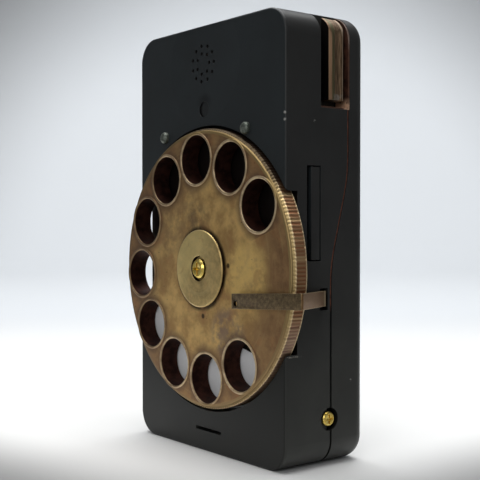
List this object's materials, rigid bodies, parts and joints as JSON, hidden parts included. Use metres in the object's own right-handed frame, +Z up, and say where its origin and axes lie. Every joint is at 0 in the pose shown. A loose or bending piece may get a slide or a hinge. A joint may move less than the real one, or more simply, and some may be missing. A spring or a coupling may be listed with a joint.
{
  "type": "rotary dial mobile phone",
  "caption": "Slab-shaped handheld mobile phone with a large bronze rotary finger dial, L-shaped finger stop, side rocker and side key.",
  "frame": {"origin": "centre of the flat bottom end of the case, where the phone stands", "axes": "+Z up along the length of the phone, the dial faces -Y, +X is on the right seen from the front"},
  "size_m": [0.0826, 0.0321, 0.1188],
  "materials": {
    "black_shell": "satin black moulded plastic, lightly worn edges",
    "aged_bronze": "aged bronze, patinated, worn light on the edges",
    "copper_trim": "oxidised copper strip",
    "worn_bronze_key": "brown bronze with worn ridges",
    "bright_brass": "bright turned brass",
    "steel": "plain steel",
    "grey_metal": "satin light grey",
    "circuit_board": "green solder mask",
    "dark_plastic": "plain black plastic",
    "cell": "silver pouch",
    "foam": "closed-cell foam",
    "dark_glass": "smoked window"
  },
  "bodies": {
    "case": {"antenna_carrier": "dark_plastic", "battery": "cell", "battery_connector": "dark_plastic", "battery_pad": "foam", "board_screws": "steel", "charge_board": "circuit_board", "charge_port": "steel", "finger_stop": "aged_bronze", "finger_stop_screw": "steel", "front_shell": "black_shell", "governor_cup": "bright_brass", "key_board": "circuit_board", "light_sensor": "dark_plastic", "main_board": "circuit_board", "mechanism_plate": "steel", "mechanism_screws": "steel", "mic_gasket": "foam", "microphone": "dark_plastic", "notch_liner": "copper_trim", "number_plate": "grey_metal", "peg_left": "grey_metal", "peg_right": "grey_metal", "pulse_sensor": "dark_plastic", "radio_shield": "steel", "rear_shell": "black_shell", "receiver": "steel", "receiver_gasket": "foam", "return_spring": "steel", "rocker_bracket": "steel", "rocker_pin": "steel", "rocker_switches": "grey_metal", "seam_gasket": "copper_trim", "sensor_lens": "dark_glass", "shaft_bush": "bright_brass", "side_key_switch": "grey_metal", "side_screw_left": "bright_brass", "side_screw_right": "bright_brass", "sim_holder": "grey_metal", "spring_post": "steel", "stop_block": "steel", "vibration_motor": "steel"},
    "dial": {"dial_plate": "aged_bronze", "rim_band": "aged_bronze", "hub_cap": "aged_bronze", "hub_screw": "bright_brass", "dial_shaft": "steel", "thrust_washer": "dark_plastic", "drive_gear": "bright_brass", "pulse_disc": "bright_brass", "spring_collar": "steel", "retaining_clip": "steel"},
    "governor": {"governor_pinion": "bright_brass", "governor_spindle": "steel", "governor_rotor": "steel"},
    "rocker": {"volume_rocker": "black_shell"},
    "key": {"side_key": "worn_bronze_key"}
  },
  "joints": [
    {"name": "dial_turn", "type": "hinge", "parent": "case", "child": "dial", "pos_m": [0, 0, 0.0511], "axis": [0, 1, 0], "range_deg": [0, 308], "stiffness_Nm_per_rad": 0.004, "springref_deg": -68.75},
    {"name": "governor_spin", "type": "hinge", "parent": "case", "child": "governor", "pos_m": [-0.01732, 0, 0.0411], "axis": [0, 1, 0], "range_deg": [-926, 0]},
    {"name": "rocker_tilt", "type": "hinge", "parent": "case", "child": "rocker", "pos_m": [0.0303, -0.00395, 0.0662], "axis": [0, 1, 0], "range_deg": [-2.5, 2.5], "stiffness_Nm_per_rad": 0.02},
    {"name": "key_press", "type": "slide", "parent": "case", "child": "key", "axis": [-1, 0, 0], "range_m": [0, 0.0008], "stiffness_N_per_m": 600, "springref_m": -0.0005}
  ],
  "couplings": [
    {"joint": "governor_spin", "follows": "dial_turn", "ratio": -3}
  ]
}
